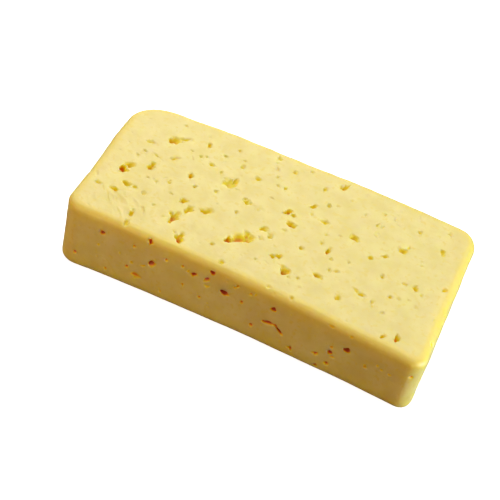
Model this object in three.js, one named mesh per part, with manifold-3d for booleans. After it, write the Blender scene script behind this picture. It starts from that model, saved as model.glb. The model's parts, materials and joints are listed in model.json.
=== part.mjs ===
// A slab of semi-soft cheese with small irregular openings, such as half a
// loaf cut through its thickness. It is one piece of natural curd with no rind.
// Millimetres, +Z up. The slab lies flat: +X is along it, +Y across it, and the
// origin is under the middle of its box, on the surface that it rests on.

import * as THREE from 'three';
import { mergeVertices } from 'three/addons/utils/BufferGeometryUtils.js';
import Module from 'manifold-3d';

// Driving dimensions.
const LENGTH = 290;
const WIDTH_LEFT = 143;       // width at the left end
const WIDTH_RIGHT = 161;      // width at the right end
const HEIGHT_LEFT = 60.5;     // thickness at the left end
const HEIGHT_RIGHT = 51.5;    // thickness at the right end
const BOW = 5;                // how far the middle stands back of the two ends
const EDGE_RADIUS = 5.5;      // rounding along the top and bottom edges
const CORNER_BACK_LEFT = 28;
const CORNER_BACK_RIGHT = 17;
const CORNER_FRONT_RIGHT = 11;
const CORNER_FRONT_LEFT = 15;

// How finely the curves are cut into flats.
const CORNER_STEPS = 5;
const EDGE_STEPS = 3;
const SIDE_STEP = 30;         // longest flat along a straight side

// The openings that the curd left between its grains, measured on a slab of
// these sizes. Each one is [x, y, length, breadth, depth, turn]: where its
// middle is, its three sizes, and its turn in degrees. On the top, x and y run
// from the slab's middle. On the front, y is the height above the base.
// Openings that run into each other make one larger hollow.
const MEASURED = { length: 290, width: 152, height: 56, bow: 5.1 };
const WIDENS = 0.059;         // how much wider the measured slab is at its right end, as a share
const THINS = 0.08;           // how much thinner it is there, as a share
const TOP_OPENINGS = [
  [-104, 39, 6, 7, 8, 0], [-100, 41, 9, 9, 5, 0], [-95, 46, 10, 5, 3.5, 40],
  [-123, -12, 5, 10, 7, 10], [-121, -6, 9, 5, 4.5, 20], [-47, 20, 10, 11, 4, 0],
  [5, 16, 10, 6, 7, 0], [12, 4, 8, 6, 6, 0], [-27, 8, 6, 7, 5, 0],
  [-76, 10, 4, 8, 5, 20], [-105.5, 1, 5, 9, 4.5, 5], [-49, -19, 6, 9, 5, -30],
  [-63, -25, 6, 9, 4.5, -10], [-68, -38, 8, 10, 5.5, 0], [-6, -12, 7, 5, 6, 10],
  [-24, -38, 6, 7, 8, 0], [-12, -30, 7, 9, 6, -10], [-17, -35, 9, 4, 5, 30],
  [9.5, -36, 5, 5, 8, 0], [15, -33, 6, 5, 4.5, 40], [23, -45, 8, 9, 6.5, 10],
  [47, -36, 8, 5, 5, 10], [45, -6, 4, 9, 5.5, 0], [-56, -58, 7, 11, 6.5, 20],
  [18.5, 34, 3.5, 8, 5, -35], [34, 70, 4.5, 10, 5, -30], [-77, 52.5, 4, 7, 4.5, 30],
  [-93, 21, 4, 9, 3.5, -45], [58, 19, 8, 6, 5.5, 0], [95.5, 28, 8, 5, 4.5, 15],
  [85.5, 14, 4, 4.5, 5, -30], [76, 6, 4, 5, 4.5, 0], [123, 45, 4, 7, 4.5, 10],
  [116.5, -6, 7, 4.5, 5, -40], [81, -35, 6, 4, 5, 0], [118.5, -64, 5, 8, 6.5, 0],
  [109, -67, 6, 4, 6.5, 40], [66, -48, 4.5, 7, 4.5, 0],
  [-118.5, -36.5, 8, 4.5, 4.5, 10], [-115, -26, 8, 4, 5, -40],
  [-96.5, -54.5, 3.5, 10, 4.5, 5],
];
const FRONT_OPENINGS = [
  [-74.5, 54, 4.5, 6, 6, 0], [-111, 45, 5, 4.5, 4.5, 0], [-69, 34, 6, 8, 5, -15],
  [-80, 16, 12, 7, 3, -10], [-36.5, 40.5, 7, 4, 6, 35], [-23.5, 49, 4.5, 4, 6.5, 20],
  [-12, 35, 6.5, 4.5, 8, 10], [27.5, 40, 5, 5, 6.5, 0], [26, 25, 10, 4, 5, 10],
  [36, 22.5, 9, 3, 6.5, -35], [47.5, 11, 4, 6, 5.5, 25], [66.5, 17, 6, 3.5, 5, 30],
  [76.5, 24, 4.5, 5, 5, 0], [88, 33.5, 4.5, 5.5, 8, 0], [104, 54, 5, 8, 4.5, 0],
  [-41, 57, 9, 13, 6, 0],
];

// On the sides below, each one is [along, across, length, breadth, depth, turn],
// with its middle as a share of the face from the face's own middle (-1 to 1).
const BACK_OPENINGS = [
  [-0.6, 0.3, 8, 6, 6, 20], [-0.25, -0.3, 11, 6, 5, -30],
  [0.05, 0.4, 6, 5, 5, 0], [0.4, 0, 9, 7, 6, 15],
  [0.66, -0.4, 6, 6, 5, 0],
];
const LEFT_OPENINGS = [[-0.35, 0.2, 8, 6, 6, 20], [0.3, -0.3, 6, 5, 5, 0]];
const RIGHT_OPENINGS = [[-0.4, -0.2, 6, 7, 5, 0], [0.35, 0.25, 9, 6, 6, -20]];

const WALL_WANDER = 0.18;     // how far an opening's wall wanders, as a share of its size
const LEAN = 0.3;             // how far an opening leans to one side, as a share of its size
const WANDER_SEED = 29;       // picks one set of wandering walls

const middleWidth = (WIDTH_LEFT + WIDTH_RIGHT) / 2;
const middleHeight = (HEIGHT_LEFT + HEIGHT_RIGHT) / 2;

const wasm = await Module();
wasm.setup();

// Repeatable random numbers from 0 to 1, by the usual multiply-and-remainder rule.
function makeRandom(seed) {
  const multiplier = 16807;
  const modulus = 2 ** 31 - 1;
  let state = seed;
  return () => {
    state = (state * multiplier) % modulus;
    return state / modulus;
  };
}

// Points round one corner of the outline, then along the side that follows it.
function addCornerAndSide(points, corner, next) {
  for (let i = 0; i <= CORNER_STEPS; i += 1) {
    const angle = corner.from + (Math.PI / 2) * (i / CORNER_STEPS);
    points.push(new THREE.Vector2(
      corner.x + corner.radius * Math.cos(angle),
      corner.y + corner.radius * Math.sin(angle),
    ));
  }
  const start = points.at(-1);
  const end = new THREE.Vector2(
    next.x + next.radius * Math.cos(next.from),
    next.y + next.radius * Math.sin(next.from),
  );
  const steps = Math.ceil(start.distanceTo(end) / SIDE_STEP);
  for (let i = 1; i < steps; i += 1) {
    points.push(start.clone().lerp(end, i / steps));
  }
}

// The slab's outline from above, before it is tapered and bowed.
function outline() {
  const corner = (radius, signX, signY, from) => ({
    radius,
    from,
    x: signX * (LENGTH / 2 - radius),
    y: signY * (middleWidth / 2 - radius),
  });
  const corners = [
    corner(CORNER_BACK_RIGHT, 1, 1, 0),
    corner(CORNER_BACK_LEFT, -1, 1, Math.PI / 2),
    corner(CORNER_FRONT_LEFT, -1, -1, Math.PI),
    corner(CORNER_FRONT_RIGHT, 1, -1, 1.5 * Math.PI),
  ];
  const points = [];
  corners.forEach((each, i) => addCornerAndSide(points, each, corners[(i + 1) % 4]));
  return new THREE.Shape(points);
}

// Carries a point of the plain slab to its place in the tapered, bowed one.
function settle(point) {
  const along = point.x / (LENGTH / 2);
  const share = (1 + along) / 2;
  const width = THREE.MathUtils.lerp(WIDTH_LEFT, WIDTH_RIGHT, share);
  const height = THREE.MathUtils.lerp(HEIGHT_LEFT, HEIGHT_RIGHT, share);
  point.y = point.y * (width / middleWidth) + BOW * (1 - along * along);
  point.z *= height / middleHeight;
  return point;
}

function settleAll(geometry) {
  const position = geometry.attributes.position;
  const point = new THREE.Vector3();
  for (let i = 0; i < position.count; i += 1) {
    settle(point.fromBufferAttribute(position, i));
    position.setXYZ(i, point.x, point.y, point.z);
  }
}

// The uncut slab with its rounded edges.
function slab() {
  const geometry = new THREE.ExtrudeGeometry(outline(), {
    depth: middleHeight - 2 * EDGE_RADIUS,
    bevelThickness: EDGE_RADIUS,
    bevelSize: EDGE_RADIUS,
    bevelOffset: -EDGE_RADIUS,
    bevelSegments: EDGE_STEPS,
  });
  geometry.translate(0, 0, EDGE_RADIUS);
  settleAll(geometry);
  return geometry;
}

// Each face: how a place on it becomes a point of the plain slab, and the
// direction that its openings look out in, as a turn from facing up.
const FACES = {
  top: {
    at: (u, v) => [u * LENGTH / 2, v * middleWidth / 2, middleHeight],
    turn: [0, 0, 0],
  },
  front: {
    at: (u, v) => [u * LENGTH / 2, -middleWidth / 2, (1 + v) * middleHeight / 2],
    turn: [Math.PI / 2, 0, 0],
  },
  back: {
    at: (u, v) => [u * LENGTH / 2, middleWidth / 2, (1 + v) * middleHeight / 2],
    turn: [-Math.PI / 2, 0, 0],
  },
  left: {
    at: (u, v) => [-LENGTH / 2, u * middleWidth / 2, (1 + v) * middleHeight / 2],
    turn: [0, -Math.PI / 2, 0],
  },
  right: {
    at: (u, v) => [LENGTH / 2, u * middleWidth / 2, (1 + v) * middleHeight / 2],
    turn: [0, Math.PI / 2, 0],
  },
};

// The same geometry with its corners shared between the triangles that meet there.
function weld(geometry) {
  geometry.deleteAttribute('normal');
  geometry.deleteAttribute('uv');
  return mergeVertices(geometry);
}

// A ball one unit in radius whose wall wanders in and out.
function lump(random) {
  const ball = weld(new THREE.IcosahedronGeometry(1, 1));
  const position = ball.attributes.position;
  const point = new THREE.Vector3();
  for (let i = 0; i < position.count; i += 1) {
    point.fromBufferAttribute(position, i);
    point.multiplyScalar(1 + WALL_WANDER * (2 * random() - 1));
    position.setXYZ(i, point.x, point.y, point.z);
  }
  return ball;
}

// The irregular lump of space that one opening takes out of a face.
function openingSpace(face, [along, across, length, breadth, depth, turn], random) {
  const space = lump(random);
  space.translate(LEAN * (random() - 0.5), LEAN * (random() - 0.5), 0);
  space.scale(length / 2, breadth / 2, depth);
  space.rotateZ(THREE.MathUtils.degToRad(turn));
  const facing = new THREE.Euler(...FACES[face].turn);
  space.applyMatrix4(new THREE.Matrix4().makeRotationFromEuler(facing));
  const middle = settle(new THREE.Vector3(...FACES[face].at(along, across)));
  space.translate(middle.x, middle.y, middle.z);
  return space;
}

function toSolid(welded) {
  return new wasm.Manifold(new wasm.Mesh({
    numProp: 3,
    vertProperties: new Float32Array(welded.attributes.position.array),
    triVerts: new Uint32Array(welded.index.array),
  }));
}

function toGeometry(solid) {
  const { vertProperties, triVerts } = solid.getMesh();
  const geometry = new THREE.BufferGeometry();
  geometry.setAttribute('position', new THREE.BufferAttribute(vertProperties, 3));
  geometry.setIndex(new THREE.BufferAttribute(triVerts, 1));
  geometry.computeVertexNormals();
  return geometry;
}

const hundredths = (value) => Math.round(value * 100) / 100;

// A measured opening with its middle as shares of its face, so that it keeps its
// place on the face when the slab's sizes change.
function onTop([x, y, ...sizes]) {
  const along = (2 * x) / MEASURED.length;
  const bowed = MEASURED.bow * (1 - along * along);
  const across = (2 * (y - bowed)) / (MEASURED.width * (1 + WIDENS * along));
  return [hundredths(along), hundredths(across), ...sizes];
}

function onFront([x, y, ...sizes]) {
  const along = (2 * x) / MEASURED.length;
  const upward = (2 * y) / (MEASURED.height * (1 - THINS * along)) - 1;
  return [hundredths(along), hundredths(upward), ...sizes];
}

// The slab with all of its openings, set down with its box's middle at the origin.
function cheeseBlock() {
  const random = makeRandom(WANDER_SEED);
  const lists = {
    top: TOP_OPENINGS.map(onTop),
    front: FRONT_OPENINGS.map(onFront),
    back: BACK_OPENINGS,
    left: LEFT_OPENINGS,
    right: RIGHT_OPENINGS,
  };
  let solid = toSolid(weld(slab()));
  for (const [face, openings] of Object.entries(lists)) {
    for (const opening of openings) {
      solid = solid.subtract(toSolid(openingSpace(face, opening, random)));
    }
  }
  const geometry = toGeometry(solid);
  geometry.computeBoundingBox();
  const middle = geometry.boundingBox.getCenter(new THREE.Vector3());
  geometry.translate(-middle.x, -middle.y, 0);
  return geometry;
}

const cheese = new THREE.MeshStandardMaterial({
  color: '#ecd98a',
  roughness: 0.5,
  metalness: 0,
});

const block = new THREE.Mesh(cheeseBlock(), cheese);
block.name = 'cheese_block';

const object = new THREE.Group();
object.add(block);

export default object;
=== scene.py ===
# %% [markdown]
# # A slab of semi-soft cheese
#
# The real thing is one half of a loaf of mild, semi-soft cheese, cut through its
# thickness. It has no rind: every side shows the same pale, slightly moist curd, with
# small gaps where the grains of curd didn't knit together.
#
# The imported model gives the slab's size and place. Here the slab is modelled again
# with all of its openings, large and small, and gets a finish that lets light in.

import json
import math
import random

import bmesh
import bpy
from mathutils import Euler, Matrix, Quaternion, Vector, noise

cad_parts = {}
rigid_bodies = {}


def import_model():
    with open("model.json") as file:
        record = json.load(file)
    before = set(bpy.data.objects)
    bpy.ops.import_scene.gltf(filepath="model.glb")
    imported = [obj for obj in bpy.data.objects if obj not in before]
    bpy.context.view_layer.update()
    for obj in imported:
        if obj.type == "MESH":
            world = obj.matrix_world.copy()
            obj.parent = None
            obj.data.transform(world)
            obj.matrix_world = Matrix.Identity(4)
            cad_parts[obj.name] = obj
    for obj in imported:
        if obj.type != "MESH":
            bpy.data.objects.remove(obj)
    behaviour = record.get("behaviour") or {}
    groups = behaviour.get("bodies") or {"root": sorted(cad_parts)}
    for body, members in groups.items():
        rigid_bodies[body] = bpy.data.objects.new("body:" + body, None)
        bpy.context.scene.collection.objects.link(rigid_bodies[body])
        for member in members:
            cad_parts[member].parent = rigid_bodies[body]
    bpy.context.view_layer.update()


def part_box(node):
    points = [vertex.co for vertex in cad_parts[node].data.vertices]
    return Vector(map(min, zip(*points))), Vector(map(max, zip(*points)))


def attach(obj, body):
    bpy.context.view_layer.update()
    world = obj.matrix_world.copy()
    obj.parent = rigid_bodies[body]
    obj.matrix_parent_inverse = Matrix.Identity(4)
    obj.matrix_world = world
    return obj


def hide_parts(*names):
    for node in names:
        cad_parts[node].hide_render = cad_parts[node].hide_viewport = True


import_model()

MM = 0.001
low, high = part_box("cheese_block")
size = high - low
print("the slab's box in millimetres:", [round(side / MM, 1) for side in size])

# %% [markdown]
# ## The camera
#
# The slab is looked down on from its long front side, a little from the right, with a
# long lens, so its far edges stay nearly as long as its near ones. The camera is held
# tilted about its own line of sight, which sets the slab on a slant. It could be
# turned by three angles; a place, a point to look at and a tilt are easier to read
# and to change.

# %% Place the camera
CAMERA_PLACE = Vector((160.2, -910.1, 872.9)) * MM
CAMERA_AIM = Vector((-12.0, -13.3, 30.0)) * MM
CAMERA_TILT = math.radians(14.9)
LENS_MM = 117.3


def aim(thing, place, target, tilt=0.0):
    """Puts a camera or a lamp at a place, looking at a target."""
    turn = (target - place).to_track_quat("-Z", "Y")
    thing.location = place
    thing.rotation_euler = (turn @ Quaternion((0, 0, 1), tilt)).to_euler()


bpy.ops.object.camera_add()
camera = bpy.context.object
camera.data.lens = LENS_MM
aim(camera, CAMERA_PLACE, CAMERA_AIM, CAMERA_TILT)
bpy.context.scene.camera = camera
print("the camera stands", round((CAMERA_PLACE - CAMERA_AIM).length, 2), "m away")

# %% [markdown]
# ## The plain slab
#
# Before any opening is cut, the slab is a box with four upright corners, each of its
# own roundness from the loaf's mould, and a softly rounded rim above and below. It
# could be drawn as an outline and extruded. A box whose edges are bevelled is quicker,
# and each corner keeps its own radius as one number.

# %% The plain slab's sizes
WIDTH_LEFT = 143 * MM
WIDTH_RIGHT = 161 * MM
HEIGHT_LEFT = 60.5 * MM
HEIGHT_RIGHT = 51.5 * MM
BOW = 5 * MM
CORNER_RADII = {
    (-1, 1): 28 * MM,
    (1, 1): 17 * MM,
    (1, -1): 11 * MM,
    (-1, -1): 15 * MM,
}
RIM_RADIUS = 5.5 * MM
CORNER_FLATS = 8
RIM_FLATS = 4

middle_width = (WIDTH_LEFT + WIDTH_RIGHT) / 2
middle_height = (HEIGHT_LEFT + HEIGHT_RIGHT) / 2
print("halfway it is", round(middle_width / MM, 1), "by", round(middle_height / MM, 1), "mm")

# %% Helpers for modelling
def only(piece):
    """Leaves one object selected and active, because operators act on all that is."""
    bpy.ops.object.select_all(action="DESELECT")
    piece.select_set(True)
    bpy.context.view_layer.objects.active = piece


def apply_modifier(piece, kind, **settings):
    """Adds a modifier, sets it and makes its result the piece's own mesh."""
    only(piece)
    modifier = piece.modifiers.new(kind.title(), kind)
    for name, value in settings.items():
        setattr(modifier, name, value)
    bpy.ops.object.modifier_apply(modifier=modifier.name)


def bevel_edges(piece, wanted, radius, flats):
    """Rounds the edges whose two ends both pass a test."""
    only(piece)
    bpy.ops.object.mode_set(mode="EDIT")
    bpy.ops.mesh.select_mode(type="EDGE")
    bpy.ops.mesh.select_all(action="DESELECT")
    mesh = bmesh.from_edit_mesh(piece.data)
    for edge in mesh.edges:
        edge.select_set(all(wanted(vertex.co) for vertex in edge.verts))
    bmesh.update_edit_mesh(piece.data)
    bpy.ops.mesh.bevel(offset=radius, segments=flats, affect="EDGES")
    bpy.ops.object.mode_set(mode="OBJECT")


# %% Model the box
bpy.ops.object.select_all(action="DESELECT")
bpy.ops.mesh.primitive_cube_add(
    size=1,
    location=(0, 0, middle_height / 2),
    scale=(size.x, middle_width, middle_height),
)
slab = bpy.context.object
slab.name = "cheese_slab"
bpy.ops.object.transform_apply(location=True, rotation=False, scale=True)

print("the box has", len(slab.data.polygons), "faces")

# %% Round its corners and rims
for (side_x, side_y), radius in CORNER_RADII.items():
    corner = Vector((side_x * size.x / 2, side_y * middle_width / 2))
    bevel_edges(slab, lambda place: (place.xy - corner).length < MM, radius, CORNER_FLATS)
for rim_height in (0, middle_height):
    bevel_edges(slab, lambda place: abs(place.z - rim_height) < MM, RIM_RADIUS, RIM_FLATS)
print("the plain slab has", len(slab.data.polygons), "faces")

# %% [markdown]
# ## The openings
#
# This kind of cheese is not aerated by gas. Its openings are gaps between grains of
# curd, so they are not round: they have three or four pointed corners, with sides
# pushed in by the grains round them, and some are only slits. The larger ones are
# listed one by one. Each row is (x, y, length, breadth, depth, turn). On the top, x and y
# run from the slab's middle; on the front, y is the height above the floor. The first
# five are in millimetres and the turn is in degrees.

# %% The openings that are listed one by one
TOP_OPENINGS = [
    (-104, 39, 6, 7, 8, 0), (-100, 41, 9, 9, 5, 0), (-95, 46, 10, 5, 3.5, 40),
    (-123, -12, 5, 10, 7, 10), (-121, -6, 9, 5, 4.5, 20), (-47, 20, 10, 11, 4, 0),
    (-43, 26, 4, 8, 4, -10), (5, 18, 5, 5, 8, 0), (3, 15, 6, 4, 6, 30),
    (8, 15, 5, 4, 6, -40), (12, 4, 8, 6, 6, 0), (-27, 8, 6, 7, 5, 0),
    (-76, 10, 4, 8, 5, 20), (-106, 6, 4, 5, 5, 0), (-105.5, 1, 5, 9, 4.5, 5),
    (-52, -21, 5, 5, 7, 0), (-49, -19, 6, 9, 5, -30), (-70, -19, 7, 5, 5, 20),
    (-63, -25, 6, 9, 4.5, -10), (-68, -38, 8, 10, 5.5, 0), (-69.5, -44, 4, 8, 5, 0),
    (-6, -12, 7, 5, 6, 10), (-24, -38, 6, 7, 8, 0), (-12, -30, 7, 9, 6, -10),
    (-19, -33, 16, 8, 5, 42), (-14, -26, 6, 9, 4.2, 0), (9.5, -36, 5, 5, 8, 0),
    (15, -33, 6, 5, 4.5, 40), (23, -45, 8, 9, 6.5, 10), (47, -36, 8, 5, 5, 10),
    (45, -6, 4, 9, 5.5, 0), (26, -15, 5, 5, 4.5, 0), (-56, -58, 7, 11, 6.5, 20),
    (18.5, 34, 3.5, 8, 5, -35), (34, 70, 4.5, 10, 5, -30), (-7, 40, 3, 4, 6, 0),
    (-29, 38, 5, 4, 4, 40), (-66, 31.5, 5, 4, 5, 0), (-77, 52.5, 4, 7, 4.5, 30),
    (-93, 21, 4, 9, 3.5, -45), (58, 19, 8, 6, 5.5, 0), (32, 22.5, 6, 5, 4.5, -40),
    (20.5, 24, 3, 4, 3.5, 0), (95.5, 28, 8, 5, 4.5, 15), (99, 34, 3, 6, 3.5, -20),
    (85.5, 14, 4, 4.5, 5, -30), (76, 6, 4, 5, 4.5, 0), (112, 24, 2.5, 3, 3, 0),
    (113.5, 20.5, 5, 2.5, 3.5, 35), (123, 45, 4, 7, 4.5, 10), (136.5, 5.5, 5, 4, 4, 40),
    (108, -6.5, 5, 3, 4, 0), (116.5, -6, 7, 4.5, 5, -40), (121.5, -9.5, 3, 4, 3.5, 0),
    (90, -8, 3, 6, 4.5, 10), (81, -35, 6, 4, 5, 0), (77, -33.5, 7, 2.5, 3.5, -25),
    (102, -25, 3.5, 4, 5, 0), (118.5, -64, 5, 8, 6.5, 0), (109, -67, 6, 4, 6.5, 40),
    (66, -48, 4.5, 7, 4.5, 0), (-118.5, -36.5, 8, 4.5, 4.5, 10),
    (-131.5, -38, 6, 4, 3.5, -20), (-115, -26, 8, 4, 5, -40), (-107.5, -26, 6, 3, 3.5, 0),
    (-87.5, -6, 3, 5, 4, 0), (-67.5, 0, 3.5, 5, 4.5, 0), (-117.5, 27, 8, 3.5, 3.5, 10),
    (-107, 15.5, 11, 2.5, 3, -30), (-98.5, -28.5, 3, 6, 3.5, 10),
    (-96.5, -54.5, 3.5, 10, 4.5, 5), (-95.5, -67, 5, 13, 3.5, 5),
    (-30.5, -8, 3.5, 5, 4, 0), (-34, -49.5, 4, 4, 3.5, 0), (34.5, -46.5, 3, 4, 3.5, 0),
    (-17, 5.5, 8, 6, 1.8, 40), (69.5, 43, 3, 6, 3.5, 10), (72, 32, 5, 6, 2, 0),
    (29.5, 42, 3.5, 5, 3.5, 10), (102, 56, 4, 5, 3.5, 0), (123, 68, 4, 5, 2.5, 0),
    (-22.5, 71.5, 3.5, 7, 3.5, 30), (-20.5, 57, 3, 5, 3.5, 0), (-7, 62.5, 4, 5, 4, 0),
    (20, 58, 3, 6, 4, 0), (-54, 60, 3, 5, 3, 0), (-45, 44.5, 3, 6, 3.5, 0),
    (-13, 40, 3, 4, 3.5, 0), (5, 71, 3, 3, 2.5, 0), (2, -16, 4, 7, 3.5, 0),
    (37, -1.5, 3, 4, 3.5, 0), (37.5, 9.5, 3, 4.5, 3.5, 30), (-4, -23, 6, 4, 2, 0),
    (-62.5, -54, 3, 3, 3.5, 0), (-21, -63, 5, 4, 3.5, -30), (50, -13, 3, 5, 3, 30),
    (52, -25, 3, 5, 2.5, 20), (-52, 5, 4, 5, 2.5, 0), (-77, 35, 4, 5, 2.5, 0),
    (71, 58, 3, 4, 2.5, 0), (-101, 62, 4, 3, 2.5, 0), (-61, 47, 3, 4, 2.5, 0),
    (91, -38, 3, 6, 2.5, 0), (101, -44, 2.5, 3, 3, 0), (104.5, -52.5, 2.5, 2.5, 3, 0),
    (122, -25, 3, 5, 2, 10), (137.5, -30, 2.5, 3, 3, 0), (38, -68, 4, 4, 3.5, 0),
    (19, -67, 5, 3, 2.5, 0), (-126, -42, 11, 1.8, 1.6, -62),
    (-120, -47, 13, 1.8, 1.8, -58), (-113.5, -47, 10, 2, 2.2, -55),
    (-108, -57, 12, 2, 1.6, -52), (-92, -46, 11, 2.2, 2.4, -62),
    (-138, -28, 11, 2.4, 1.2, -70), (-97, -12, 9, 1.6, 1.4, -50),
    (-82, 29, 9, 1.6, 1.4, -62), (48, 15, 3, 4, 2, 0), (8, -4, 3, 5, 2, 0),
    (-56, 27, 2.5, 6, 2.5, 10), (-81, -17, 5, 3, 2, 0), (-87, -36, 3, 4, 2, 0),
    (-96, -11, 2.5, 5, 2, 25), (62, -8, 2.5, 5, 2, 20), (44, 58, 3, 4, 2, 0),
]
FRONT_OPENINGS = [
    (-74.5, 54, 4.5, 6, 4, 0), (-111, 45, 5, 4.5, 3, 0), (-69, 34, 6, 7, 2.5, -15),
    (-59, 43, 3.5, 4, 2.5, 30), (-86, 26.5, 3, 4, 2.5, -20), (-80, 16, 12, 5, 1.2, -10),
    (-60, 10, 3, 3.5, 2.5, 0), (-104, 10, 4, 3, 2, 0), (-43, 26.5, 3, 4.5, 2.5, 0),
    (-29.5, 21, 4, 3.5, 2.5, 0), (-47, 43.5, 3, 3, 2, 0), (-85, 43.5, 3, 4, 2, -20),
    (-75, 29, 6, 2.5, 2, 30), (-89, 21, 3, 3, 2.5, 0), (-113, 31, 2.5, 3, 2, -30),
    (-20, 15, 2.5, 2.5, 2, 0), (-131, 15, 2.5, 5, 2.5, 20), (-36.5, 40.5, 7, 4, 4, 35),
    (-23.5, 49, 4.5, 4, 4, 20), (-25.5, 41, 3.5, 7, 2.5, -30), (-12, 35, 6.5, 4.5, 8, 10),
    (-3, 47, 3, 4, 3, 0), (9, 44.5, 3, 4.5, 3, -15), (27.5, 40, 5, 5, 4, 0),
    (26, 25, 13, 3.2, 5, 10), (36, 22, 12.5, 2.6, 6, -38), (47.5, 11, 4, 6, 3.5, 25),
    (66.5, 17, 6, 3.5, 3, 30), (69, 5.5, 5, 3.5, 4, 35), (76.5, 12, 5, 4, 2, -20),
    (76.5, 24, 4.5, 5, 3, 0), (77, 29.5, 3, 3.5, 2.5, 0), (88, 33.5, 4.5, 5.5, 8, 0),
    (123, 30, 4, 3, 2, 0), (113, 33, 2, 4, 2.5, -20), (104, 27, 3, 5, 2, 0),
    (14, 55, 5, 4, 2.5, 0), (25, 54.5, 5, 4, 2.5, 0), (104, 54, 5, 8, 3, 0),
    (73, 49.5, 5, 3, 2, 0), (-41, 57, 9, 7, 2, 0), (139, 37, 4, 5, 3, 0),
    (88.5, 48, 3, 3, 2, 0), (-96, 31, 2.5, 3, 2.5, 0), (3.5, 33, 2, 5, 2.5, 0),
    (14, 15, 2.5, 4, 2, 0), (-5, 44, 3, 3, 2, 40), (-103, 24, 2.5, 2.5, 2.5, 0),
]
print(len(TOP_OPENINGS) + len(FRONT_OPENINGS), "openings are placed by hand")

# %% [markdown]
# The openings are cut out of the plain slab, before it settles. So each place is given
# as a share of its face, which stays the same when the face bows and widens. The
# shares come from the slab as it was measured. A shallow opening looks deeper than it
# is, so the smaller depths on the top are eased.

# %% Turn the places into shares of the face
MEASURED_LENGTH = 290
MEASURED_WIDTH = 152
MEASURED_HEIGHT = 56
MEASURED_BOW = 5.1
WIDENS = 0.059
THINS = 0.08
DEEPEST = 8
EASED = 0.3
SHALLOWEST = 1


def on_top(x, y, length, breadth, depth, turn):
    """A row of the top with its place as shares of the face."""
    along = 2 * x / MEASURED_LENGTH
    bowed = MEASURED_BOW * (1 - along * along)
    across = 2 * (y - bowed) / (MEASURED_WIDTH * (1 + WIDENS * along))
    eased = round(2 * depth * (depth / DEEPEST) ** EASED) / 2
    return round(along, 2), round(across, 2), length, breadth, max(eased, SHALLOWEST), turn


def on_front(x, height, length, breadth, depth, turn):
    """A row of the front with its place as shares of the face."""
    along = 2 * x / MEASURED_LENGTH
    upward = 2 * height / (MEASURED_HEIGHT * (1 - THINS * along)) - 1
    return round(along, 2), round(upward, 2), length, breadth, depth, turn


top_rows = [on_top(*row) for row in TOP_OPENINGS]
front_rows = [on_front(*row) for row in FRONT_OPENINGS]
print("the first one is at", top_rows[0][:2], "of the top")

# %% [markdown]
# The rest are scattered by chance, on the hidden sides too, because a loaf is the
# same all through. The dice are seeded, so every run throws the same openings. The
# long front side and the top already have their larger ones, so they only get the
# smallest. The other sides get a mix of sizes in the same measure as the top.

# %% Scatter the smaller openings
NARROWEST = 1.4
SMALL_ONES_FAVOURED = 3
LONGER_THAN_WIDE = (1.0, 2.4)
DEEPER_THAN_WIDE = (0.4, 0.9)


def scatter(count, seed, widest, lie=0.95):
    """Rows for openings thrown over a face, most of them small and a few large."""
    dice = random.Random(seed)
    rows = []
    for _ in range(count):
        share = dice.random() ** SMALL_ONES_FAVOURED
        breadth = NARROWEST + (widest - NARROWEST) * share
        length = breadth * dice.uniform(*LONGER_THAN_WIDE)
        depth = breadth * dice.uniform(*DEEPER_THAN_WIDE)
        place = (dice.uniform(-lie, lie), dice.uniform(-lie, lie))
        rows.append((*place, length, breadth, depth, dice.uniform(0, 180)))
    return rows


# Each count and largest breadth goes with the size of the face.
openings = {
    "top": top_rows + scatter(190, 11, 2.8),
    "front": front_rows + scatter(80, 12, 2.6),
    "back": scatter(110, 13, 6.0),
    "left": scatter(55, 14, 5.5),
    "right": scatter(55, 15, 5.5),
    "bottom": scatter(120, 16, 6.0, lie=0.9),
}
print({face: len(rows) for face, rows in openings.items()})

# %% [markdown]
# Each opening is modelled as the lump of space that it takes up: a ball whose side is
# pushed in between its corners, that narrows as it goes down, wanders, and leans so
# that it slopes in gently from one side and runs in under the rim on the other. One
# ball is made, and each lump is a copy with its own mesh. A large opening is where
# several grains met badly, so it gets smaller lumps round its side. The loaf was
# pressed from above, so its gaps lie flat: a side cuts across them, and there they go
# deeper in for their width than they do on the top.

# %% How a lump of space is shaped
CORNER_COUNTS = (3, 3, 4, 5)
PUSHED_IN = 0.38
WANDERS = ((1.3, 0.45), (3.1, 0.3))
NARROWS = 0.45
LEAN_ALONG = (-0.7, 0.2)
LEAN_ACROSS = (-0.9, 0.1)
LARGE = 5.5
SIDE_LUMPS = (1, 2)
SIDE_LUMP_SHARE = (0.35, 0.65)
DEEPER_IN_SIDES = 1.2
FARTHEST_SPOT = 99
LUMP_SEED = 21
print("a lump has", CORNER_COUNTS, "corners and up to", max(SIDE_LUMPS), "more beside it")

# %% [markdown]
# Every row now says where an opening is as shares of its face. So for each face
# there is a formula that turns the two shares into a point on the plain slab, and a
# turn that makes the lump's own upward direction face out of it.

# %% Where each face is
half_length = size.x / 2
half_width = middle_width / 2
half_height = middle_height / 2
QUARTER_TURN = math.pi / 2

FACES = {
    "top": (lambda u, v: (u * half_length, v * half_width, middle_height), (0, 0, 0)),
    "bottom": (lambda u, v: (u * half_length, v * half_width, 0), (2 * QUARTER_TURN, 0, 0)),
    "front": (
        lambda u, v: (u * half_length, -half_width, (1 + v) * half_height),
        (QUARTER_TURN, 0, 0),
    ),
    "back": (
        lambda u, v: (u * half_length, half_width, (1 + v) * half_height),
        (-QUARTER_TURN, 0, 0),
    ),
    "left": (
        lambda u, v: (-half_length, u * half_width, (1 + v) * half_height),
        (0, -QUARTER_TURN, 0),
    ),
    "right": (
        lambda u, v: (half_length, u * half_width, (1 + v) * half_height),
        (0, QUARTER_TURN, 0),
    ),
}

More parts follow.
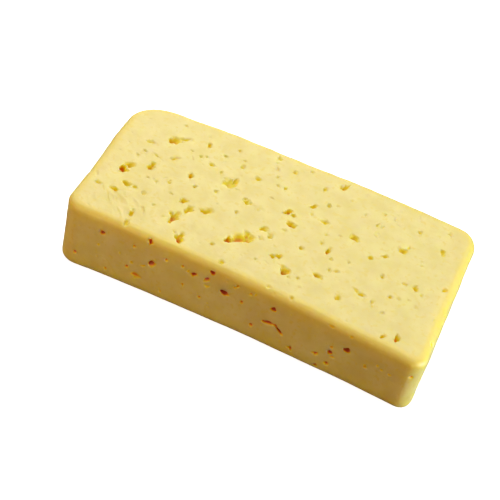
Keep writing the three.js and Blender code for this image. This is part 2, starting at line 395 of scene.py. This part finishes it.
FACE_SPANS = {
    "top": (half_length, half_width),
    "bottom": (half_length, half_width),
    "front": (half_length, half_height),
    "back": (half_length, half_height),
    "left": (half_width, half_height),
    "right": (half_width, half_height),
}

print(len(FACES), "faces can have openings")

# %% Helpers for the lumps
def space_in_curd(face, row, dice):
    """A copy of the ball, shaped and placed as one opening. Returns it and its reach."""
    along, across, length, breadth, depth, turn = row
    if face not in ("top", "bottom"):
        depth *= DEEPER_IN_SIDES
    space = ball.copy()
    space.data = ball.data.copy()
    bpy.context.collection.objects.link(space)
    corners = dice.choice(CORNER_COUNTS)
    first_corner = dice.uniform(0, 2 * math.pi)
    chance = Vector([dice.uniform(0, FARTHEST_SPOT) for _ in range(3)])
    lean = Vector((dice.uniform(*LEAN_ALONG), dice.uniform(*LEAN_ACROSS), 0))
    lean.rotate(Euler((0, 0, -math.radians(turn))))
    for vertex in space.data.vertices:
        place = vertex.co
        around = math.atan2(place.y, place.x) - first_corner
        reach = 1 + PUSHED_IN / 3 - PUSHED_IN * (1 - abs(math.cos(around * corners / 2)))
        for scale, share in WANDERS:
            reach += share * noise.noise(place * scale + chance)
        down = min(place.z, 0)
        place.xy = place.xy * reach * (1 + NARROWS * down) - lean.xy * down
        place.x *= length / 2 * MM
        place.y *= breadth / 2 * MM
        place.z *= depth * MM
    point, facing = FACES[face]
    middle = Vector(point(along, across))
    turns = Euler(facing).to_matrix().to_4x4() @ Matrix.Rotation(math.radians(turn), 4, "Z")
    space.data.transform(Matrix.Translation(middle) @ turns)
    reach = max((vertex.co - middle).length for vertex in space.data.vertices)
    return space, middle, reach


def side_lumps(face, row, dice):
    """Rows for the smaller lumps round the side of a large opening."""
    along, across, length, breadth, depth, turn = row
    rows = []
    for _ in range(dice.choice(SIDE_LUMPS)):
        share = dice.uniform(*SIDE_LUMP_SHARE)
        around = dice.uniform(0, 2 * math.pi)
        aside = Vector((math.cos(around) * length, math.sin(around) * breadth)) / 2 * MM
        aside.rotate(Matrix.Rotation(math.radians(turn), 2))
        spans = FACE_SPANS[face]
        place = (along + aside.x / spans[0], across + aside.y / spans[1])
        rows.append((*place, length * share, breadth * share, depth * share, dice.uniform(0, 180)))
    return rows


# %% Model the lumps of space
bpy.ops.object.select_all(action="DESELECT")
bpy.ops.mesh.primitive_ico_sphere_add(subdivisions=3, radius=1)
ball = bpy.context.object
ball.name = "space_ball"

spaces = []
dice = random.Random(LUMP_SEED)
for face, rows in openings.items():
    for row in rows:
        spaces.append(space_in_curd(face, row, dice))
        if max(row[2:4]) > LARGE:
            for lump in side_lumps(face, row, dice):
                spaces.append(space_in_curd(face, lump, dice))
bpy.data.objects.remove(ball)
print(len(spaces), "lumps of space are ready")

# %% [markdown]
# Lumps that overlap can't be cut out in one go, because where two closed shapes share
# a space the cutter can't tell inside from outside. So they are dealt into batches in
# which none touches another, and each batch is joined and cut out of the slab.

# %% Cut the openings out of the slab
batches = []
for space, middle, reach in spaces:
    for batch in batches:
        if all((middle - other).length > reach + spread for _, other, spread in batch):
            batch.append((space, middle, reach))
            break
    else:
        batches.append([(space, middle, reach)])

for batch in batches:
    only(batch[0][0])
    for space, _, _ in batch:
        space.select_set(True)
    if len(batch) > 1:
        bpy.ops.object.join()
    cutter = bpy.context.view_layer.objects.active
    apply_modifier(slab, "BOOLEAN", operation="DIFFERENCE", solver="MANIFOLD", object=cutter)
    bpy.data.objects.remove(cutter)
print(len(batches), "batches are cut;", len(slab.data.polygons), "faces now")

# %% [markdown]
# ## The settled slab
#
# A knife leaves crisp rims, but curd is soft and its rims slump. Each rim could be
# bevelled, but there are hundreds. A voxel remesh melts every edge by about its
# voxel's size, all in one go, and gives an even mesh that can be shaped.

# %% Soften the rims
VOXEL = 0.8 * MM

apply_modifier(slab, "REMESH", mode="VOXEL", voxel_size=VOXEL)
print("remeshed to", len(slab.data.polygons), "faces")

# %% [markdown]
# Where two openings nearly met, the remesh can leave a crumb hanging free or a bubble
# shut inside. Neither could be there on one piece of cheese. Everything that is joined
# to a point of the outside is selected, the selection is turned round, and what it
# then holds is deleted.

# %% Drop the loose crumbs
before = len(slab.data.vertices)
bpy.ops.object.mode_set(mode="EDIT")
bpy.ops.mesh.select_mode(type="VERT")
bpy.ops.mesh.select_all(action="DESELECT")
shape = bmesh.from_edit_mesh(slab.data)
highest = max(shape.verts, key=lambda vertex: vertex.co.z)
highest.select_set(True)
bmesh.update_edit_mesh(slab.data)
bpy.ops.mesh.select_linked()
bpy.ops.mesh.select_all(action="INVERT")
bpy.ops.mesh.delete(type="VERT")
bpy.ops.object.mode_set(mode="OBJECT")
print("dropped", before - len(slab.data.vertices), "points of crumbs")

# %% [markdown]
# Light that finds its way into an opening bounces off yellow walls again and again, so
# the bottom looks orange. The finish paints that orange and a painted shade by depth,
# so each point carries its depth from here on. The plain slab is simple enough to give
# the distance to its outside as a formula: first to its outline with round corners, then
# over the round rims. The gaps in the long front side lie in shade, so there each
# millimetre counts for more and their painted shade is the brownest. The glow of light
# through the rims is painted too, as a deeper yellow, so each point also carries how
# near a rim it is.

# %% Measure the depth below the outside and the nearness to a rim
# Painted shade in the front's gaps, and how far a painted glow reaches down from a rim.
PAINTED_SHADE_IN_FRONT = 4.0
GLOW_DOWN_THE_FRONT = 11 * MM
GLOW_ELSEWHERE = 2 * MM


def outline_distance(x, y):
    """How far a point is outside the plain slab's outline; less than 0 is inside."""
    radius = CORNER_RADII[(1 if x > 0 else -1, 1 if y > 0 else -1)]
    over_x = abs(x) - half_length + radius
    over_y = abs(y) - half_width + radius
    outside = math.hypot(max(over_x, 0), max(over_y, 0))
    return outside + min(max(over_x, over_y), 0) - radius


def measure(place):
    """A point's depth below the plain slab's outside, counted deeper in the front for painted
    shade, and its nearness to a rim for a painted glow.
    """
    over_side = outline_distance(place.x, place.y) + RIM_RADIUS
    over_top = abs(place.z - half_height) - half_height + RIM_RADIUS
    outside = math.hypot(max(over_side, 0), max(over_top, 0))
    depth = RIM_RADIUS - outside - min(max(over_side, over_top), 0)
    in_side = min(max((over_side - over_top) / RIM_RADIUS, 0), 1)
    in_front = half_width + place.y < half_length - abs(place.x) and place.y < 0
    # Painted shade: on the long front side each millimetre of depth counts for more, so its gaps
    # are painted browner.
    painted_shade = 1 + (PAINTED_SHADE_IN_FRONT - 1) * in_side * in_front
    # Painted glow: the rim's deeper yellow is painted far down the front and a little way down
    # elsewhere.
    glow_reach = GLOW_DOWN_THE_FRONT if in_front and over_side > over_top else GLOW_ELSEWHERE
    from_rim = max(-min(over_side, over_top), 0) / glow_reach
    return depth * painted_shade / MM, max(1 - from_rim, 0)


measures = [measure(vertex.co) for vertex in slab.data.vertices]
for name, values in zip(("painted_shade_depth_mm", "painted_rim_glow"), zip(*measures)):
    attribute = slab.data.attributes.new(name, "FLOAT", "POINT")
    attribute.data.foreach_set("value", values)
print("the deepest point counts as", round(max(depth for depth, _ in measures), 1), "mm")

# %% [markdown]
# Then the slab takes its settled form: thicker at the left end, wider at the right
# end, and slightly bowed, as a soft block goes when it has lain across something. A
# lattice could do this too, but the three changes are plain sums.

# %% Settle the slab
def settle(place):
    """Carries a point of the plain slab to its place in the settled one."""
    along = place.x / half_length
    share = (1 + along) / 2
    width = WIDTH_LEFT + (WIDTH_RIGHT - WIDTH_LEFT) * share
    height = HEIGHT_LEFT + (HEIGHT_RIGHT - HEIGHT_LEFT) * share
    bow = BOW * (1 - along * along)
    return Vector((place.x, place.y * width / middle_width + bow, place.z * height / middle_height))


for vertex in slab.data.vertices:
    vertex.co = settle(vertex.co)
across = [vertex.co.y for vertex in slab.data.vertices]
shift = -(min(across) + max(across)) / 2
slab.data.transform(Matrix.Translation((0, shift, 0)))
print("settled, and moved across by", round(shift / MM, 1), "mm to stay in the middle")

# %% [markdown]
# ## The surface
#
# No side of a soft cheese is flat. The whole slab swells and dips a little, the wire
# that cut it drags faint lines, and near the left end of the top the curd tore. These
# could be painted as bumps, but then the outline would stay ruled straight, so they
# are real dents: each point moves along its own normal by a sum of soft noises.

# %% Move the surface
SWELL = (48 * MM, 0.9 * MM)
DENTS = (13 * MM, 0.35 * MM)
GRAIN = (3.2 * MM, 0.12 * MM)
DRAG_ACROSS = 3.5 * MM
DRAG_ALONG = 38 * MM
DRAG_HEIGHT = 0.12 * MM
DRAG_PATCHES = 30 * MM
DRAG_TURN = math.radians(-50)
TORN_MIDDLE = Vector((-112, -48)) * MM
TORN_REACH = Vector((30, 34)) * MM
TORN_HEIGHT = 1.8 * MM
TORN_ALONG = 14 * MM
TORN_ACROSS = 6 * MM
FLAT_BELOW = 4 * MM
FACES_UP = 0.5
PATCHES_COVER = 0.3


def layer(place, scale, height):
    """Soft noise whose swells are about so wide and at most so high."""
    return height * noise.noise(place / scale)


def fade(distance, reach):
    """1 in the middle, 0 past the reach, smooth between."""
    share = min(max(1 - distance / reach, 0), 1)
    return share * share * (3 - 2 * share)


def drag_lines(place, length, width):
    """Noise that is long one way and narrow the other, as a dragged wire leaves."""
    turned = place.copy()
    turned.rotate(Euler((0, 0, -DRAG_TURN)))
    return noise.noise(Vector((turned.x / length, turned.y / width, 0)))


def surface_move(place, normal):
    """How far a point moves along its own normal."""
    move = layer(place, *SWELL) + layer(place, *DENTS) + layer(place, *GRAIN)
    if normal.z > FACES_UP:
        patch = max(layer(place, DRAG_PATCHES, 1) + PATCHES_COVER, 0)
        move += DRAG_HEIGHT * patch * drag_lines(place, DRAG_ALONG, DRAG_ACROSS)
        away = place.xy - TORN_MIDDLE
        away = Vector((away.x / TORN_REACH.x, away.y / TORN_REACH.y)).length
        move -= TORN_HEIGHT * fade(away, 1) * abs(drag_lines(place, TORN_ALONG, TORN_ACROSS))
    return move * min(place.z / FLAT_BELOW, 1)


normals = [vertex.normal.copy() for vertex in slab.data.vertices]
for vertex, normal in zip(slab.data.vertices, normals):
    vertex.co += normal * surface_move(vertex.co, normal)
print("the surface is shaped")

# %% [markdown]
# The mesh is now finer than it needs to be where little happens. Decimate takes
# triangles away there and keeps them at the rims and in the openings.

# %% Thin the mesh
MOST_TRIANGLES = 190_000

slab.data.calc_loop_triangles()
share = MOST_TRIANGLES / len(slab.data.loop_triangles)
apply_modifier(slab, "DECIMATE", ratio=min(share, 1), use_collapse_triangulate=True)
only(slab)
bpy.ops.object.shade_smooth()
deepest = max(depth.value for depth in slab.data.attributes["painted_shade_depth_mm"].data)
print("the finished slab has", len(slab.data.polygons), "triangles; deepest", round(deepest, 1))

# %% [markdown]
# ## The finish: cut semi-soft cheese
#
# Curd is a net of protein full of tiny drops of fat. Light goes into it, is scattered
# many times and comes out some millimetres away, robbed of its blue. That is why the
# cheese looks soft, why a shaded side still glows near a lit rim, and why a hole is
# orange and never black. One flat colour could be taken from a chart, but it would
# look like plastic.

# %% Helpers for finishes
def colour(hex_value):
    """Turns an sRGB hex colour into the linear one that a shader takes."""
    parts = [int(hex_value[i : i + 2], 16) / 255 for i in (1, 3, 5)]
    linear = [p / 12.92 if p <= 0.04045 else ((p + 0.055) / 1.055) ** 2.4 for p in parts]
    return (*linear, 1.0)


def add_node(material, kind, inputs=None, **settings):
    """Adds a node. An input that is given another node's output is linked to it."""
    tree = material.node_tree
    node = tree.nodes.new(kind)
    for name, value in settings.items():
        setattr(node, name, value)
    for name, value in (inputs or {}).items():
        if isinstance(value, bpy.types.NodeSocket):
            tree.links.new(value, node.inputs[name])
        else:
            node.inputs[name].default_value = value
    return node


def new_material(name):
    """A material with no nodes in it yet."""
    material = bpy.data.materials.new(name)
    material.use_nodes = True
    material.node_tree.nodes.clear()
    return material


# %% Helpers for the cheese
cheese = new_material("cut_semi_soft_cheese")
place = add_node(cheese, "ShaderNodeTexCoord").outputs["Object"]


def measured(name):
    """A value that the mesh carries at each of its points."""
    return add_node(cheese, "ShaderNodeAttribute", attribute_name=name).outputs["Fac"]


def pattern(feature, detail=3.0, roughness=0.5):
    """Noise whose features are about so large, in metres."""
    inputs = {"Vector": place, "Scale": 1 / feature, "Detail": detail, "Roughness": roughness}
    return add_node(cheese, "ShaderNodeTexNoise", inputs).outputs["Fac"]


def blend(share, first, second, from_min=0.0, from_max=1.0):
    """Goes from one colour to another as a value goes from its least to its most."""
    limits = {"Value": share, "From Min": from_min, "From Max": from_max}
    scaled = add_node(cheese, "ShaderNodeMapRange", limits).outputs["Result"]
    node = add_node(cheese, "ShaderNodeMix", {0: scaled, 6: first, 7: second}, data_type="RGBA")
    return node.outputs[2]


# %% [markdown]
# The colour is built up from the outside in. Curd is never stirred evenly, so its pale
# lemon drifts over a centimetre or so, and small grains in it are yellower. The rims
# are painted a deeper yellow, a painted glow of light through them. Going down an
# opening, the walls are painted lemon, then golden, and last a reddish brown: painted
# shade and bounced light, browner in the front side's shaded gaps.

# %% The colour of the curd
curd = blend(pattern(14 * MM), colour("#eae092"), colour("#e4d884"), 0.35, 0.65)
flecked = blend(pattern(4 * MM, detail=2.0), curd, colour("#e6d87a"), 0.55, 0.7)
# Painted glow: the rims are painted a deeper yellow.
with_rim_glow = blend(measured("painted_rim_glow"), flecked, colour("#e9d86c"), 0.0, 1.5)
depth = measured("painted_shade_depth_mm")
# Painted shade: the walls of an opening are painted lemon, golden and brown by depth.
lemon = blend(depth, with_rim_glow, colour("#f0e02c"), 0.4, 1.8)
golden = blend(depth, lemon, colour("#f09a22"), 2.4, 4.6)
brown = blend(depth, golden, colour("#cc6c3c"), 4.8, 7.5)
print("the curd's colour is ready")

# %% [markdown]
# Red and green light travel about a centimetre in the curd and blue hardly two
# millimetres. The knife leaves a matt surface with a fine grain, too small to model,
# and over it lies a thin film of fat and whey. The film is what pales the top where
# the light skims it. Fat and water both bend light about as much as the curd does.

# %% Make the finish and give it to the slab
GRAIN_SIZE = 1.5 * MM
GRAIN_DEPTH = 0.4 * MM
GRAIN_STRENGTH = 0.25
LIGHT_TRAVELS = 12 * MM
SHARES_FOR_RED_GREEN_BLUE = (1.0, 0.85, 0.15)
CURD_IOR = 1.45

grain = add_node(
    cheese,
    "ShaderNodeBump",
    {"Height": pattern(GRAIN_SIZE, 4.0, 0.6), "Strength": GRAIN_STRENGTH, "Distance": GRAIN_DEPTH},
).outputs["Normal"]
shader = add_node(
    cheese,
    "ShaderNodeBsdfPrincipled",
    {
        "Base Color": brown,
        "Roughness": 0.5,
        "IOR": CURD_IOR,
        "Subsurface Weight": 1.0,
        "Subsurface Radius": SHARES_FOR_RED_GREEN_BLUE,
        "Subsurface Scale": LIGHT_TRAVELS,
        "Coat Weight": 0.5,
        "Coat Roughness": 0.45,
        "Coat IOR": CURD_IOR,
        "Normal": grain,
    },
)
add_node(cheese, "ShaderNodeOutputMaterial", {"Surface": shader.outputs["BSDF"]})
slab.data.materials.clear()
slab.data.materials.append(cheese)
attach(slab, "root")
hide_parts("cheese_block")
print("the slab has its finish")

# %% [markdown]
# ## The floor
#
# A wide, pale, matt sheet, so nothing but the slab draws the eye. It glows a little by
# itself, as paper lit from behind does, so the slab's shadow stays faint. It is kept
# from lighting the slab, because a white glow from below would bleach the sides.

# %% Lay the floor
FLOOR_WIDTH = 8

floor_finish = new_material("pale_matt_floor")
floor_shader = add_node(
    floor_finish,
    "ShaderNodeBsdfPrincipled",
    {
        "Base Color": colour("#f6f5f2"),
        "Roughness": 0.9,
        "Emission Color": colour("#ffffff"),
        "Emission Strength": 0.85,
    },
)
add_node(floor_finish, "ShaderNodeOutputMaterial", {"Surface": floor_shader.outputs["BSDF"]})
bpy.ops.object.select_all(action="DESELECT")
bpy.ops.mesh.primitive_plane_add(size=FLOOR_WIDTH)
floor = bpy.context.object
floor.name = "studio_floor"
floor.data.materials.append(floor_finish)
floor.visible_diffuse = False
floor.visible_glossy = False
print("the floor is laid")

# %% [markdown]
# ## The light
#
# Five square lamps with a cloth in front, all aimed at the slab. The strongest hangs
# over its far side, so the top is bright, the openings are lit down to their bottoms,
# and the long front side is in soft shade. A lamp at the right makes that end shine.
# The fill at the front is warm, like light that has bounced off more cheese.

# %% Set the lamps
SLAB_MIDDLE = Vector((0, 0, 0.03))


def soft_light(name, place, width, power, tint):
    """A square lamp, so many metres wide and so many watts, aimed at the slab."""
    bpy.ops.object.light_add(type="AREA")
    lamp = bpy.context.object
    lamp.name = name
    lamp.data.shape = "SQUARE"
    lamp.data.size = width
    lamp.data.energy = power
    lamp.data.color = colour(tint)[:3]
    aim(lamp, Vector(place), SLAB_MIDDLE)


soft_light("key_light", (0.0, 0.7, 1.25), 1.2, 12.6, "#ffffff")
soft_light("right_light", (1.2, -0.1, 0.22), 0.6, 17, "#ffffff")
soft_light("left_light", (-0.8, 0.3, 0.9), 1.0, 4, "#ffffff")
soft_light("back_light", (-0.5, 1.3, 0.4), 0.9, 7, "#ffe6c4")
soft_light("fill_light", (-0.7, -1.1, 0.5), 0.9, 10.8, "#ffcf9c")
print("the lamps are set")

# %% [markdown]
# Behind everything is plain white. It is only there to be seen: if it also lit the
# slab, the front side would lose its shade. The plain view transform keeps the pale
# lemon as it is set, where the usual filmic one would grey it.

# %% Hang the backdrop
world = bpy.data.worlds.new("studio_air")
bpy.context.scene.world = world
world.use_nodes = True
background = world.node_tree.nodes["Background"]
background.inputs["Color"].default_value = colour("#ffffff")
background.inputs["Strength"].default_value = 1.0
world.cycles_visibility.diffuse = False
world.cycles_visibility.glossy = False
bpy.context.scene.view_settings.view_transform = "Standard"
print("the backdrop is hung")
